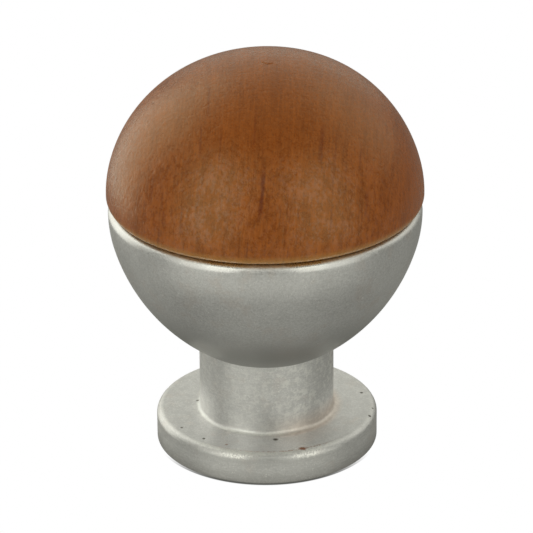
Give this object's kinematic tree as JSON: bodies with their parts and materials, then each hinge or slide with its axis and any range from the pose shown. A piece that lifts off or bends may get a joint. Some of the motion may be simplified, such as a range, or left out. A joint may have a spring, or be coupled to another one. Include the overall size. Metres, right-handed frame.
{
  "type": "cabinet knob",
  "caption": "Round cabinet or drawer knob: turned wooden cap seated in a cast satin metal cup on a straight neck and round foot, tapped from below for a machine screw.",
  "frame": {"origin": "centre of the foot's bearing face, where the knob's axis meets the door or drawer front", "axes": "+Z along the knob's axis, away from the door, through the neck and the cap; round about +Z"},
  "size_m": [0.03, 0.03, 0.039],
  "materials": {
    "satin_metal": "satin nickel plate on a zinc casting, fine matt sparkle",
    "lacquered_wood": "stained fine-grained hardwood under satin lacquer"
  },
  "bodies": {
    "root": {"metal_base": "satin_metal", "wooden_cap": "lacquered_wood"}
  },
  "joints": []
}
